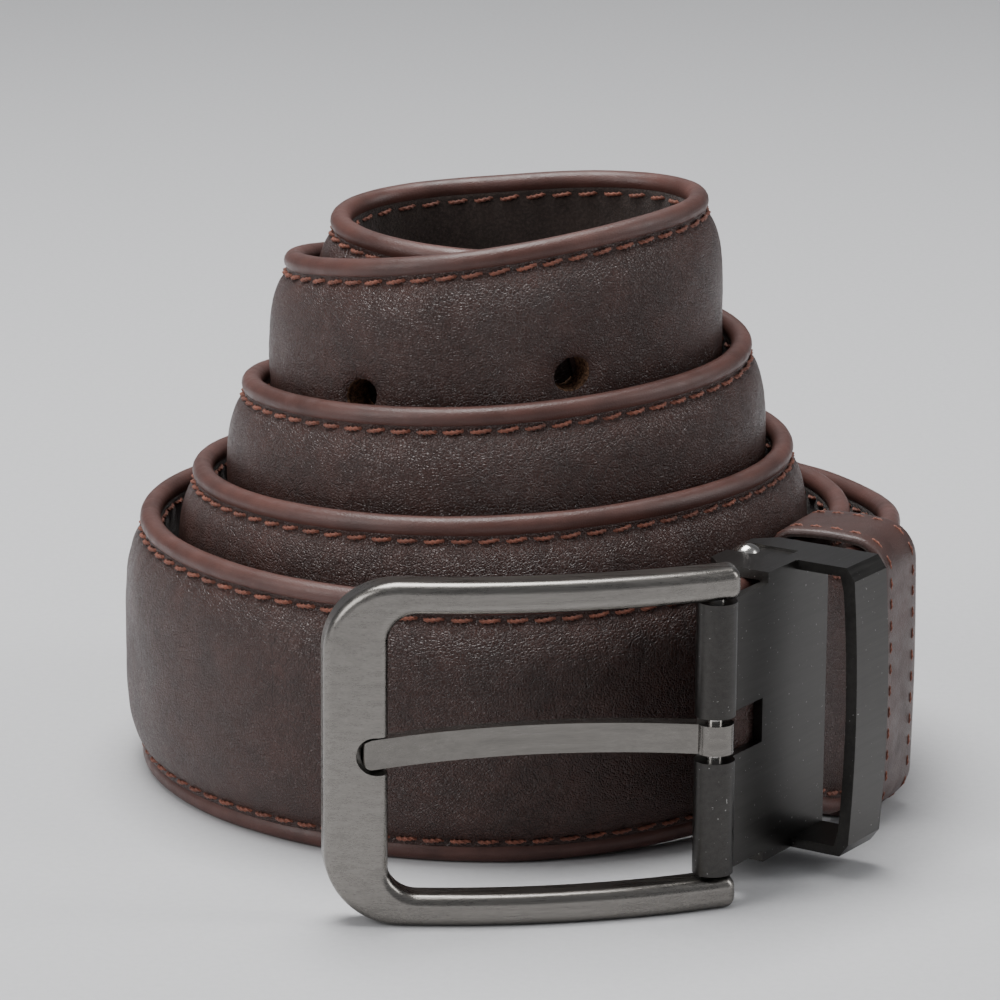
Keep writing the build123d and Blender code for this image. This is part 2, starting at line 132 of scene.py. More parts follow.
# --- keeper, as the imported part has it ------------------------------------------
KEEPER_TURN = -0.062
KEEPER_INSIDE = -0.0116
KEEPER_OUTSIDE = 0.00475
KEEPER_BOTTOM = 0.0002
KEEPER_TOP = 0.03785
KEEPER_STEP = 0.0012        # distance between rings on its straight sides
KEEPER_BOW = 0.00022        # how far the straight sides bulge
BEND_STEPS = 10


def smooth_step(x):
    x = np.clip(x, 0.0, 1.0)
    return x * x * (3 - 2 * x)


def coil_xy(turn):
    """Middle of the strap's thickness on the coil, about the coil's middle."""
    a = tau * turn
    r = COIL_RADIUS - TURN_PITCH * turn
    r = r - KEEPER_ROOM * smooth_step((turn - KEEPER_ROOM_START) / KEEPER_ROOM_SPAN)
    r = r + ROOM_GIVEN_BACK * smooth_step((turn - GIVE_BACK_START) / GIVE_BACK_SPAN)
    shift_span = CLAMP_SHIFT_END - JOIN_TURN
    r = r + CLAMP_SHIFT * smooth_step((CLAMP_SHIFT_END - turn) / shift_span)
    r = r + OVAL * np.cos(2 * a) + OVAL_SKEW * np.sin(2 * a)
    r = r + EGG_SIDE * np.cos(3 * a) + EGG_FRONT * np.sin(3 * a)
    return np.stack((r * np.cos(a), r * np.sin(a)), axis=-1)


def direction(turn):
    """Unit vectors along the strap, away from the clamp."""
    step = 1e-4
    turn = np.maximum(turn, JOIN_TURN)
    d = coil_xy(turn + step) - coil_xy(turn - step)
    return d / np.linalg.norm(d, axis=-1, keepdims=True)


def outward(turn):
    along = direction(turn)
    return np.stack((along[..., 1], -along[..., 0]), axis=-1)


def strap_xy(turn):
    """Like coil_xy, with the straight length inside the clamp added."""
    turn = np.asarray(turn, float)
    straight = np.maximum(JOIN_TURN - turn, 0.0) * tau * COIL_RADIUS
    return coil_xy(np.maximum(turn, JOIN_TURN)) - direction(turn) * straight[..., None]


def lift(turn):
    """Height of the strap's lower edge: a smooth curve that never overshoots LIFT."""
    t, z = LIFT[:, 0], LIFT[:, 1]
    slope = np.diff(z) / np.diff(t)
    before, after = slope[:-1], slope[1:]
    steady = before * after > 0
    total = np.where(steady, before + after, 1.0)
    inner = np.where(steady, 2 * before * after / total, 0.0)
    tangent = np.concatenate((slope[:1], inner, slope[-1:]))
    i = np.clip(np.searchsorted(t, turn) - 1, 0, len(t) - 2)
    span = t[i + 1] - t[i]
    x = np.clip((turn - t[i]) / span, 0.0, 1.0)
    start = z[i] * (1 + 2 * x) * (1 - x) ** 2 + span * tangent[i] * x * (1 - x) ** 2
    end = z[i + 1] * x * x * (3 - 2 * x) - span * tangent[i + 1] * x * x * (1 - x)
    return start + end


def turn_at(distance):
    """Turn number of the straight length at a distance from the hinge."""
    return JOIN_TURN - (HINGE_TO_JOIN - distance) / (tau * COIL_RADIUS)


def coil_middle():
    """Where the coil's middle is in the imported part, found from the hinge pin."""
    low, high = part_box("hinge_pin")
    join = np.array(JOIN_TURN)
    hinge = coil_xy(join) - direction(join) * HINGE_TO_JOIN + outward(join) * PLATE_SIDE
    return np.array([(low.x + high.x) / 2, (low.y + high.y) / 2]) - hinge


MIDDLE = coil_middle()
STRAP_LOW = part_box("edge_bead_bottom")[0].z
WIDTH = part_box("edge_bead_top")[1].z - float(lift(np.array(4.0))) - STRAP_LOW


class StrapLine:
    """The strap's middle line, looked up by the distance walked from its start."""

    def __init__(self):
        self.turns = np.linspace(turn_at(STRAP_START), TIP_TURN, 40001)
        steps = np.diff(strap_xy(self.turns), axis=0)
        self.walked = np.concatenate(([0.0], np.cumsum(np.hypot(*steps.T))))
        self.length = self.walked[-1]
        first = np.interp(HOLE_FIRST_TURN, self.turns, self.walked)
        self.holes = [first - i * HOLE_PITCH for i in range(HOLE_COUNT)]

    def turn(self, distance):
        return np.interp(distance, self.walked, self.turns)

    def swell(self, distance):
        """0 inside the clamp and 1 where the padding fills the strap."""
        return smooth_step((distance - CLAMP_END + STRAP_START) / SWELL_LENGTH)

    def points(self, distance, across, up):
        """Points at distances along, across the thickness and up the strap."""
        turn = self.turn(distance)
        beyond = np.maximum(distance - self.length, 0.0)[..., None]
        xy = MIDDLE + strap_xy(turn) + outward(turn) * across[..., None]
        xy = xy + direction(turn) * beyond
        return np.concatenate((xy, (lift(turn) + STRAP_LOW + up)[..., None]), axis=-1)

    def stations(self):
        """Evenly spaced distances that fall on the middle of every hole."""
        before = int(self.holes[0] / CELL)
        after = int((self.length - self.holes[0]) / CELL)
        inner = self.holes[0] + CELL * np.arange(-before, after + 1)
        return np.unique(np.concatenate(([0.0], inner[1:-1], [self.length])))


LINE = StrapLine()


# --- small makers ----------------------------------------------------------------
def new_piece(name, points, faces, materials, smooth=True):
    mesh = bpy.data.meshes.new(name)
    mesh.from_pydata([tuple(p) for p in points], [], faces)
    mesh.update()
    piece = bpy.data.objects.new(name, mesh)
    bpy.context.scene.collection.objects.link(piece)
    for material in materials:
        mesh.materials.append(material)
    if smooth:
        mesh.shade_smooth()
    return piece


def wander(x, seed, scale):
    """Gentle, repeatable unevenness between about -1 and 1."""
    rng = np.random.default_rng(seed)
    total = np.zeros_like(x)
    for _ in range(7):
        wave = scale * rng.uniform(0.6, 2.2)
        total = total + np.sin(tau * x / wave + rng.uniform(0, tau))
    return total / 4.0


def circle_round_hole(u, v):
    """Draws the square rings of cells round a hole into circles."""
    ring = np.maximum(np.abs(u), np.abs(v))
    away = np.maximum(np.hypot(u, v), 1e-9)
    share = np.clip((ring - HOLE_RADIUS) / (HOLE_REACH * CELL - HOLE_RADIUS), 0, 1)
    stretch = (ring * (1 - share) + away * share) / away
    return u * stretch, v * stretch


def zip_loops(inner, inner_angles, outer, outer_angles):
    """Triangles between two closed loops that are both sorted by angle."""
    faces = []
    i = j = 0
    a, b = len(inner), len(outer)
    while i < a or j < b:
        next_inner = inner_angles[(i + 1) % a] + tau * ((i + 1) // a)
        next_outer = outer_angles[(j + 1) % b] + tau * ((j + 1) // b)
        if j >= b or (i < a and next_inner <= next_outer):
            faces.append((inner[i % a], inner[(i + 1) % a], outer[j % b]))
            i += 1
        else:
            faces.append((inner[i % a], outer[(j + 1) % b], outer[j % b]))
            j += 1
    return faces


def strap_layer(name, heights, surface, hidden, wall, materials, inwards=False):
    """A layer of the strap with a detailed side, a plain hidden side and the holes.

    surface gives the detailed side's place across the thickness at (distance, height);
    hidden is the place of the plain side, and wall the depths of the hole's rings.
    """
    along = LINE.stations()
    columns, rows = len(along), len(heights)
    middle_row = int(np.argmin(np.abs(heights - WIDTH / 2)))
    s, z = np.meshgrid(along, heights, indexing="ij")
    skipped, back_skipped = set(), set()
    centres = [int(np.argmin(np.abs(along - hole))) for hole in LINE.holes]
    for c in centres:
        i = slice(c - HOLE_REACH, c + HOLE_REACH + 1)
        j = slice(middle_row - HOLE_REACH, middle_row + HOLE_REACH + 1)
        u, v = circle_round_hole(s[i, j] - along[c], z[i, j] - WIDTH / 2)
        s[i, j], z[i, j] = along[c] + u, WIDTH / 2 + v
        for column in range(c - HOLE_CELLS, c + HOLE_CELLS):
            for row in range(middle_row - HOLE_CELLS, middle_row + HOLE_CELLS):
                skipped.add((column, row))
        back_skipped.update(range(c - BACK_REACH, c + BACK_REACH))
    across = surface(s, z)
    points = [LINE.points(s, across, z).reshape(-1, 3)]
    back_z = np.array([heights[0], heights[-1]])
    bs, bz = np.meshgrid(along, back_z, indexing="ij")
    points.append(LINE.points(bs, hidden(bs), bz).reshape(-1, 3))
    base = columns * rows
    top = rows - 1
    faces, wall_faces = [], []
    for i in range(columns - 1):
        a, b = i * rows, (i + 1) * rows
        for j in range(rows - 1):
            if (i, j) not in skipped:
                faces.append((a + j, b + j, b + j + 1, a + j + 1))
        c, d = base + 2 * i, base + 2 * i + 2
        faces.append((a, c, d, b))
        faces.append((a + top, b + top, d + 1, c + 1))
        if i not in back_skipped:
            faces.append((c, c + 1, d + 1, d))
    last = (columns - 1) * rows
    faces.append(tuple(range(rows)) + (base + 1, base))
    end = tuple(range(last, last + rows)) + (base + 2 * columns - 1, base + 2 * columns - 2)
    faces.append(end[::-1])
    count = base + 2 * columns
    for number, c in enumerate(centres):
        n = HOLE_CELLS
        ring = [(c + k, middle_row - n) for k in range(-n, n)]
        ring += [(c + n, middle_row + k) for k in range(-n, n)]
        ring += [(c + k, middle_row + n) for k in range(n, -n, -1)]
        ring += [(c - n, middle_row + k) for k in range(n, -n, -1)]
        loop = [i * rows + j for i, j in ring]
        u = np.array([s[i, j] - along[c] for i, j in ring])
        v = np.array([z[i, j] - WIDTH / 2 for i, j in ring])
        start = np.array([across[i, j] for i, j in ring])
        angle = np.arctan2(v, u)
        ragged = wander(angle, 40 + number, 1.7) * 0.5 + wander(angle, 60 + number, 0.6) * 0.5
        for k, depth in enumerate(wall):
            shrink = 1 - 0.03 * (k + 1) + 0.035 * ragged * (k + 1) / len(wall)
            deep = start * (1 - depth) + hidden(along[c] + u) * depth
            fresh = LINE.points(along[c] + u * shrink, deep, WIDTH / 2 + v * shrink)
            points.append(fresh)
            new = list(range(count, count + len(ring)))
            count += len(ring)
            for p in range(len(ring)):
                q = (p + 1) % len(ring)
                wall_faces.append((loop[p], loop[q], new[q], new[p]))
            loop = new
        outline = [base + 2 * i for i in range(c - BACK_REACH, c + BACK_REACH + 1)]
        outline += [base + 2 * i + 1 for i in range(c + BACK_REACH, c - BACK_REACH - 1, -1)]
        out_u = [k * CELL for k in range(-BACK_REACH, BACK_REACH + 1)]
        out_u = np.array(out_u + out_u[::-1])
        half = len(outline) // 2
        out_v = np.array([back_z[0] - WIDTH / 2] * half + [back_z[1] - WIDTH / 2] * half)
        out_angle = np.arctan2(out_v, out_u)
        first_in, first_out = int(np.argmin(angle)), int(np.argmin(out_angle))
        turned = lambda values, k: list(values[k:]) + list(values[:k])
        faces += zip_loops(
            turned(loop, first_in),
            turned(angle, first_in),
            turned(outline, first_out),
            turned(out_angle, first_out),
        )
    every = faces + wall_faces
    if inwards:
        every = [f[::-1] for f in every]
    piece = new_piece(name, np.concatenate(points), every, materials)
    if len(materials) > 1:
        index = np.zeros(len(every), np.int32)
        index[len(faces):] = 1
        piece.data.polygons.foreach_set("material_index", index)
    return piece


def sweep_rings(name, rings, materials, closed=False):
    """Skin over rings of equal length, capped at both ends unless it is closed."""
    count, size = len(rings), len(rings[0])
    faces = []
    for i in range(count if closed else count - 1):
        a, b = i * size, (i + 1) % count * size
        for j in range(size):
            k = (j + 1) % size
            faces.append((a + j, b + j, b + k, a + k))
    if not closed:
        faces.append(tuple(range(size)))
        faces.append(tuple(range((count - 1) * size, count * size))[::-1])
    return new_piece(name, np.concatenate(rings), faces, materials)


# --- finishes ----------------------------------------------------------------------
def scaled(colour, factor):
    """A colour made lighter or darker."""
    return [c * factor for c in colour[:3]]


class Finish:
    """A procedural material, with short calls for adding and joining its nodes."""

    def __init__(self, name):
        self.material = bpy.data.materials.new(name)
        self.material.use_nodes = True
        self.tree = self.material.node_tree
        self.surface = self.tree.nodes["Principled BSDF"]
        self.place = self.node("ShaderNodeTexCoord").outputs["Object"]

    def node(self, kind, settings=None, **inputs):
        made = self.tree.nodes.new(kind)
        for key, value in (settings or {}).items():
            setattr(made, key, value)
        for key, value in inputs.items():
            self.put(made.inputs[key.replace("_", " ")], value)
        return made

    def put(self, socket, value):
        if isinstance(value, bpy.types.NodeSocket):
            self.tree.links.new(value, socket)
        else:
            socket.default_value = value

    def finish(self, **inputs):
        for key, value in inputs.items():
            self.put(self.surface.inputs[key.replace("_", " ")], value)
        return self.material

    def stretched(self, scale, turn=0.0):
        made = self.node("ShaderNodeMapping", Vector=self.place)
        made.inputs["Rotation"].default_value = (0, 0, turn)
        outer = self.node("ShaderNodeMapping", Vector=made.outputs[0])
        outer.inputs["Scale"].default_value = scale
        return outer.outputs[0]

    def noise(self, scale, detail=3.0, place=None, roughness=0.55):
        return self.node(
            "ShaderNodeTexNoise",
            Vector=place or self.place,
            Scale=scale,
            Detail=detail,
            Roughness=roughness,
        ).outputs["Fac"]

    def cells(self, scale, place=None, feature="DISTANCE_TO_EDGE"):
        made = self.node(
            "ShaderNodeTexVoronoi", {"feature": feature}, Vector=place or self.place, Scale=scale
        )
        return made.outputs["Distance"]

    def fit(self, value, low, high, to_low=0.0, to_high=1.0):
        made = self.node("ShaderNodeMapRange", Value=value)
        for key, number in zip(("From Min", "From Max", "To Min", "To Max"), (low, high, to_low, to_high)):
            made.inputs[key].default_value = number
        return made.outputs[0]

    def sum(self, a, b, kind="ADD"):
        made = self.node("ShaderNodeMath", {"operation": kind})
        self.put(made.inputs[0], a)
        self.put(made.inputs[1], b)
        return made.outputs[0]

    def blend(self, share, a, b):
        made = self.node("ShaderNodeMix", {"data_type": "RGBA"})
        self.put(made.inputs["Factor"], share)
        self.put(made.inputs[6], a if isinstance(a, bpy.types.NodeSocket) else (*a[:3], 1))
        self.put(made.inputs[7], b if isinstance(b, bpy.types.NodeSocket) else (*b[:3], 1))
        return made.outputs[2]

    def nudged(self, scale, amount):
        """Place moved a little by noise, so that cells lose their straight sides."""
        noise = self.node("ShaderNodeTexNoise", Vector=self.place, Scale=scale, Detail=2.0)
        centred = self.node("ShaderNodeVectorMath", {"operation": "SUBTRACT"})
        self.put(centred.inputs[0], noise.outputs["Color"])
        centred.inputs[1].default_value = (0.5, 0.5, 0.5)
        moved = self.node("ShaderNodeVectorMath", {"operation": "MULTIPLY_ADD"})
        self.put(moved.inputs[0], centred.outputs[0])
        moved.inputs[1].default_value = (amount, amount, amount)
        self.put(moved.inputs[2], self.place)
        return moved.outputs[0]

    def bump(self, height, strength, distance, below=None):
        made = self.node("ShaderNodeBump", Height=height, Strength=strength, Distance=distance)
        if below is not None:
            self.put(made.inputs["Normal"], below)
        return made.outputs[0]


def grained_leather(look):
    """Milled, padded leather: fine pebbles with a looser net of creases."""
    f = Finish("grained leather")
    moved = f.nudged(700, 0.0006)
    pebble = f.fit(f.cells(look.grain_density, moved), 0.0, 0.22)
    crease = f.fit(f.cells(look.grain_density * 0.2, moved), 0.0, 0.07)
    patch = f.noise(70, 4)
    soft = f.fit(patch, 0.38, 0.62, 0.10, 0.45)
    fine = f.noise(5200, 2)
    deep = f.sum(f.sum(crease, -1.0, "ADD"), soft, "MULTIPLY")
    height = f.sum(f.sum(f.sum(pebble, 0.55, "MULTIPLY"), f.sum(fine, 0.35, "MULTIPLY")), deep)
    worn = f.fit(f.noise(240, 3), 0.35, 0.7)
    colour = f.blend(worn, look.face_colour, scaled(look.face_colour, 1.6))
    # painted shade: the low parts of the grain and the creases are painted darker, down to 0.35 of the
    # face colour
    colour = f.blend(f.fit(height, -0.6, 0.5), scaled(look.face_colour, 0.35), colour)
    rough = f.fit(f.sum(f.noise(1500, 2), patch), 0.7, 1.3, 0.30, 0.50)
    return f.finish(
        Base_Color=colour,
        Roughness=rough,
        Specular_IOR_Level=0.55,
        Normal=f.bump(height, 0.75, 0.00022),
    )


def smooth_leather(name, colour, rough=0.42, grain=0.25):
    """Painted or glazed leather with only a faint grain."""
    f = Finish(name)
    moved = f.nudged(900, 0.0004)
    fine = f.noise(3800, 3)
    cell = f.fit(f.cells(2600, moved), 0.0, 0.3)
    height = f.sum(f.sum(fine, 0.7, "MULTIPLY"), f.sum(cell, 0.5, "MULTIPLY"))
    tone = f.fit(f.noise(160, 4), 0.3, 0.7)
    shade = f.blend(tone, scaled(colour, 0.72), scaled(colour, 1.25))
    scuff = f.fit(f.noise(1400, 4), 0.62, 0.8, 0.0, 0.35)
    shade = f.blend(scuff, shade, scaled(colour, 2.2))
    gloss = f.fit(f.noise(420, 3), 0.3, 0.7, rough - 0.07, rough + 0.1)
    return f.finish(
        Base_Color=shade,
        Roughness=gloss,
        Specular_IOR_Level=0.5,
        Normal=f.bump(height, grain, 0.00012),
    )


def napped_lining(look):
    """Split leather with a short, dull nap."""
    f = Finish("napped lining")
    patch = f.fit(f.noise(110, 4), 0.3, 0.7)
    nap = f.noise(2600, 5, roughness=0.75)
    clump = f.noise(650, 3)
    colour = f.blend(patch, scaled(look.lining_colour, 0.7), scaled(look.lining_colour, 1.35))
    colour = f.blend(f.fit(nap, 0.45, 0.75), colour, scaled(look.lining_colour, 2.3))
    height = f.sum(nap, f.sum(clump, 0.8, "MULTIPLY"))
    return f.finish(
        Base_Color=colour,
        Roughness=f.fit(nap, 0.2, 0.8, 0.8, 0.98),
        Specular_IOR_Level=0.2,
        Sheen_Weight=0.25,
        Sheen_Roughness=0.5,
        Normal=f.bump(height, 0.8, 0.0003),
    )


def raw_fibre():
    """Undyed fibre in the wall of a punched hole."""
    f = Finish("raw leather fibre")
    strand = f.noise(2200, 5, roughness=0.8)
    colour = f.blend(f.fit(strand, 0.4, 0.65), (0.035, 0.018, 0.012), (0.30, 0.165, 0.095))
    return f.finish(
        Base_Color=colour,
        Roughness=f.fit(strand, 0.3, 0.7, 0.85, 1.0),
        Specular_IOR_Level=0.15,
        Normal=f.bump(strand, 1.0, 0.0004),
    )


def twisted_thread(look):
    """Waxed rust-coloured thread."""
    f = Finish("waxed thread")
    fibre = f.noise(7000, 3)
    tone = f.fit(f.noise(330, 3), 0.3, 0.7)
    colour = f.blend(tone, scaled(look.thread_colour, 0.65), scaled(look.thread_colour, 1.3))
    return f.finish(
        Base_Color=colour,
        Roughness=f.fit(fibre, 0.2, 0.8, 0.5, 0.75),
        Sheen_Weight=0.15,
        Normal=f.bump(fibre, 0.5, 0.0001),
    )


def brushed_metal(name, colour, rough, along, depth=0.25, specks=0.0):
    """Metal with fine strokes in one level direction, given by its angle."""
    f = Finish(name)
    stroke = f.stretched((0.035, 1.0, 1.0), -along)
    lines = f.noise(9000, 2, stroke)
    broad = f.noise(1700, 2, stroke)
    smudge = f.fit(f.noise(75, 3), 0.3, 0.7)
    tone = f.sum(f.sum(lines, 0.5, "MULTIPLY"), f.sum(broad, 0.5, "MULTIPLY"))
    shade = f.blend(f.fit(tone, 0.35, 0.65), scaled(colour, 0.82), scaled(colour, 1.12))
    gloss = f.fit(f.sum(tone, f.sum(smudge, 0.18, "MULTIPLY")), 0.4, 1.0, rough - 0.06, rough + 0.1)
    if specks:
        dust = f.fit(f.noise(2400, 1), 0.74, 0.78)
        shade = f.blend(f.sum(dust, specks, "MULTIPLY"), shade, (0.5, 0.49, 0.47))
    return f.finish(
        Base_Color=shade, Metallic=1.0, Roughness=gloss, Normal=f.bump(tone, depth, 0.00003)
    )


# --- settings ---------------------------------------------------------------------
def length(name, description, default):
    return bpy.props.FloatProperty(
        name=name, description=description, default=default, min=0.0, subtype="DISTANCE", unit="LENGTH"
    )


def colour(name, description, default):
    return bpy.props.FloatVectorProperty(
        name=name, description=description, default=default, size=3, min=0.0, max=1.0, subtype="COLOR"
    )


class BeltStrapSettings(bpy.types.PropertyGroup):
    """Sizes and colours of the strap."""

    crown: length("Crown", "How far the padding pushes the face out from the middle", 0.0034)
    margin: length("Margin", "Place of the stitched margin across the thickness", 0.0011)
    roll_radius: length("Roll radius", "Radius of the rolled edge", 0.00138)
    lining_side: length("Lining side", "Place of the lining across the thickness", 0.0013)
    grain_density: bpy.props.FloatProperty(
        name="Grain density", description="Pebbles of the grain in a metre", default=2600.0, min=1.0
    )
    face_colour: colour("Face colour", "Colour of the face leather", (0.036, 0.0148, 0.0112))
    edge_colour: colour("Edge colour", "Colour of the rolled edge", (0.085, 0.036, 0.029))
    lining_colour: colour("Lining colour", "Colour of the lining", (0.040, 0.028, 0.024))
    thread_colour: colour("Thread colour", "Colour of the thread", (0.20, 0.062, 0.035))


class BeltStitchSettings(bpy.types.PropertyGroup):
    """Sizes of the stitches."""

    line_height: length("Line height", "Stitch line's distance from the strap's edge", 0.00295)
    pitch: length("Pitch", "Distance from one stitch to the next", 0.00345)
    stitch_length: length("Stitch length", "Length of thread that shows", 0.0026)
    thread_width: length("Thread width", "Thickness of the thread", 0.00068)
    lean: length("Lean", "How much higher one end of a stitch lies", 0.00022)


class BeltKeeperSettings(bpy.types.PropertyGroup):
    """Sizes and colour of the keeper."""

    width: length("Width", "Width of the keeper along the strap", 0.011)
    wall: length("Wall", "Thickness of leather and lining together", 0.00115)
    lining: length("Lining", "Thickness of the lining", 0.00035)
    corner: length("Corner", "Radius of the keeper's outer bends", 0.0050)
    inner_corner: length("Inner corner", "Radius of the bends inside the coil", 0.0036)
    thread_sink: length("Thread sink", "How deep the stitches lie in the leather", 0.00012)
    stitch_at: length("Stitch line", "Distance of the stitches from the middle", 0.0037)
    leather_colour: colour("Leather colour", "Colour of the keeper", (0.052, 0.025, 0.021))


class BeltMetalSettings(bpy.types.PropertyGroup):
    """Colours of the metal parts."""

    frame_colour: colour("Frame colour", "Colour of frame and prong", (0.235, 0.221, 0.204))
    housing_colour: colour("Housing colour", "Colour of the clamp housing", (0.062, 0.059, 0.056))
    pin_colour: colour("Pin colour", "Colour of pins and staple", (0.56, 0.54, 0.51))


class BeltStageSettings(bpy.types.PropertyGroup):
    """Floor, light and camera."""

    distance: length("Camera distance", "From the camera to the middle of the belt", 0.6398)
    pitch: bpy.props.FloatProperty(
        name="Camera pitch", description="Downward tilt", default=radians(14.66), subtype="ANGLE"
    )
    roll: bpy.props.FloatProperty(
        name="Camera roll", description="Lean of the camera", default=radians(0.4), subtype="ANGLE"
    )
    lens: bpy.props.FloatProperty(name="Lens", description="Focal length in mm", default=175.5, min=1.0)
    aim_height: length("Aim height", "Height that the camera looks at", 0.03589)
    floor_colour: colour("Floor colour", "Colour of floor and backdrop", (0.60, 0.60, 0.61))
    light: bpy.props.FloatProperty(
        name="Light", description="Strength of the key light", default=9.0, min=0.0
    )


# --- stitches, one tree for every row ---------------------------------------------------
def stitch_tree():
    """Geometry Nodes tree: a line with an outward attribute becomes a row of stitches."""
    tree = bpy.data.node_groups.get("Stitch Row")
    if tree:
        return tree
    tree = bpy.data.node_groups.new("Stitch Row", "GeometryNodeTree")
    face = tree.interface
    face.new_socket("Geometry", in_out="INPUT", socket_type="NodeSocketGeometry")
    for name, value in (
        ("Pitch", 0.0035),
        ("Stitch Length", 0.0027),
        ("Thread Width", 0.0007),
        ("Lean", 0.0002),
        ("Twists", 2.0),
    ):
        socket = face.new_socket(name, in_out="INPUT", socket_type="NodeSocketFloat")
        socket.default_value = value
    face.new_socket("Thread", in_out="INPUT", socket_type="NodeSocketMaterial")
    face.new_socket("Geometry", in_out="OUTPUT", socket_type="NodeSocketGeometry")

    def add(kind, settings=None, **inputs):
        made = tree.nodes.new(kind)
        for key, value in (settings or {}).items():
            setattr(made, key, value)
        for key, value in inputs.items():
            join(value, made.inputs[key.replace("_", " ")])
        return made

    def join(value, socket):
        if isinstance(value, bpy.types.NodeSocket):
            tree.links.new(value, socket)
        else:
            socket.default_value = value

    def math(kind, a, b):
        made = add("ShaderNodeMath", {"operation": kind})
        join(a, made.inputs[0])
        join(b, made.inputs[1])
        return made.outputs[0]

    def spot(x, y, z):
        return add("ShaderNodeCombineXYZ", X=x, Y=y, Z=z).outputs[0]

    given = add("NodeGroupInput").outputs
    half = math("MULTIPLY", given["Stitch Length"], 0.5)
    less = math("MULTIPLY", half, -1.0)
    lean = math("MULTIPLY", given["Lean"], 0.5)
    down = math("MULTIPLY", lean, -1.0)
    rise = math("MULTIPLY", given["Thread Width"], 0.55)
    sink = math("MULTIPLY", given["Thread Width"], -0.75)
    segment = add("GeometryNodeCurvePrimitiveBezierSegment", {"mode": "POSITION"}, Resolution=9)
    near = math("MULTIPLY", half, 0.62)
    near_back = math("MULTIPLY", near, -1.0)
    join(spot(less, down, sink), segment.inputs["Start"])
    join(spot(near_back, down, rise), segment.inputs["Start Handle"])
    join(spot(near, lean, rise), segment.inputs["End Handle"])
    join(spot(half, lean, sink), segment.inputs["End"])
    share = add("GeometryNodeSplineParameter").outputs["Factor"]
    turned = math("MULTIPLY", math("MULTIPLY", share, given["Twists"]), tau)
    tilted = add("GeometryNodeSetCurveTilt", Curve=segment.outputs[0], Tilt=turned)
    ply = add("GeometryNodeCurvePrimitiveCircle", {"mode": "RADIUS"}, Resolution=8, Radius=0.5)
    flat = add("GeometryNodeTransform", Geometry=ply.outputs[0])
    wide = given["Thread Width"]
    join(spot(wide, math("MULTIPLY", wide, 0.62), wide), flat.inputs["Scale"])
    body = add(
        "GeometryNodeCurveToMesh", Curve=tilted.outputs[0], Profile_Curve=flat.outputs[0], Fill_Caps=True
    )
    line = add("GeometryNodeMeshToCurve", Mesh=given["Geometry"])
    marks = add("GeometryNodeResampleCurve", Curve=line.outputs[0])
    if "Mode" in marks.inputs:
        marks.inputs["Mode"].default_value = "Length"
    else:
        marks.mode = "LENGTH"
    join(given["Pitch"], marks.inputs["Length"])
    out = add("GeometryNodeInputNamedAttribute", {"data_type": "FLOAT_VECTOR"}, Name="outward")
    pose = add("FunctionNodeAxesToRotation", {"primary_axis": "X", "secondary_axis": "Z"})
    join(add("GeometryNodeInputTangent").outputs[0], pose.inputs["Primary Axis"])
    join(out.outputs[0], pose.inputs["Secondary Axis"])
    placed = add("GeometryNodeInstanceOnPoints", Points=marks.outputs[0], Instance=body.outputs[0])
    join(pose.outputs[0], placed.inputs["Rotation"])
    jitter = add("FunctionNodeRandomValue", {"data_type": "FLOAT_VECTOR"}, Seed=11)
    jitter.inputs[0].default_value = (-0.06, -0.03, -0.07)
    jitter.inputs[1].default_value = (0.06, 0.03, 0.07)
    uneven = add("GeometryNodeRotateInstances", Instances=placed.outputs[0])
    join(jitter.outputs[0], uneven.inputs["Rotation"])
    real = add("GeometryNodeRealizeInstances", Geometry=uneven.outputs[0])
    smooth = add("GeometryNodeSetShadeSmooth", Geometry=real.outputs[0])
    painted = add("GeometryNodeSetMaterial", Geometry=smooth.outputs[0], Material=given["Thread"])
    result = add("NodeGroupOutput")
    join(painted.outputs[0], result.inputs[0])
    return tree


def stitch_row(name, points, outs, thread, sizes, closed=False):
    """Row of separate stitches along points, lying against a surface facing outs."""
    count = len(points)
    edges = [(i, i + 1) for i in range(count - 1)]
    if closed:
        edges.append((count - 1, 0))
    mesh = bpy.data.meshes.new(name + " line")
    mesh.from_pydata([tuple(p) for p in points], edges, [])
    attribute = mesh.attributes.new("outward", "FLOAT_VECTOR", "POINT")
    attribute.data.foreach_set("vector", np.asarray(outs, np.float32).ravel())
    guide = bpy.data.objects.new(name + " line", mesh)
    bpy.context.scene.collection.objects.link(guide)
    modifier = guide.modifiers.new("Stitches", "NODES")
    tree = stitch_tree()
    modifier.node_group = tree
    values = {**sizes, "Thread": thread}
    for socket in tree.interface.items_tree:
        if socket.in_out == "INPUT" and socket.name in values:
            modifier[socket.identifier] = values[socket.name]
    guide.update_tag()
    bpy.context.view_layer.update()
    evaluated = guide.evaluated_get(bpy.context.evaluated_depsgraph_get())
    made = bpy.data.meshes.new_from_object(evaluated)
    guide.modifiers.remove(modifier)
    bpy.data.objects.remove(guide)
    if not len(made.polygons):
        raise RuntimeError(name + " came out empty")
    made.name = name
    piece = bpy.data.objects.new(name, made)
    bpy.context.scene.collection.objects.link(piece)
    return piece


def half_heights(edge_rows):
    """Heights of a layer's rows: the given ones at each edge and even cells between."""
    reach = int((WIDTH / 2 - max(edge_rows) - CELL * 0.4) / CELL)
    middle = WIDTH / 2 + CELL * np.arange(-reach, reach + 1)
    return np.concatenate((edge_rows, middle, WIDTH - np.array(edge_rows)[::-1]))


def near_hole(s, z, spread):
    """1 at the rim of a hole, fading to 0 over spread."""
    total = np.zeros_like(s)
    for hole in LINE.holes:
        away = np.hypot(s - hole, z - WIDTH / 2) - HOLE_RADIUS
        total += np.exp(-((np.maximum(away, 0) / spread) ** 2))
    return total


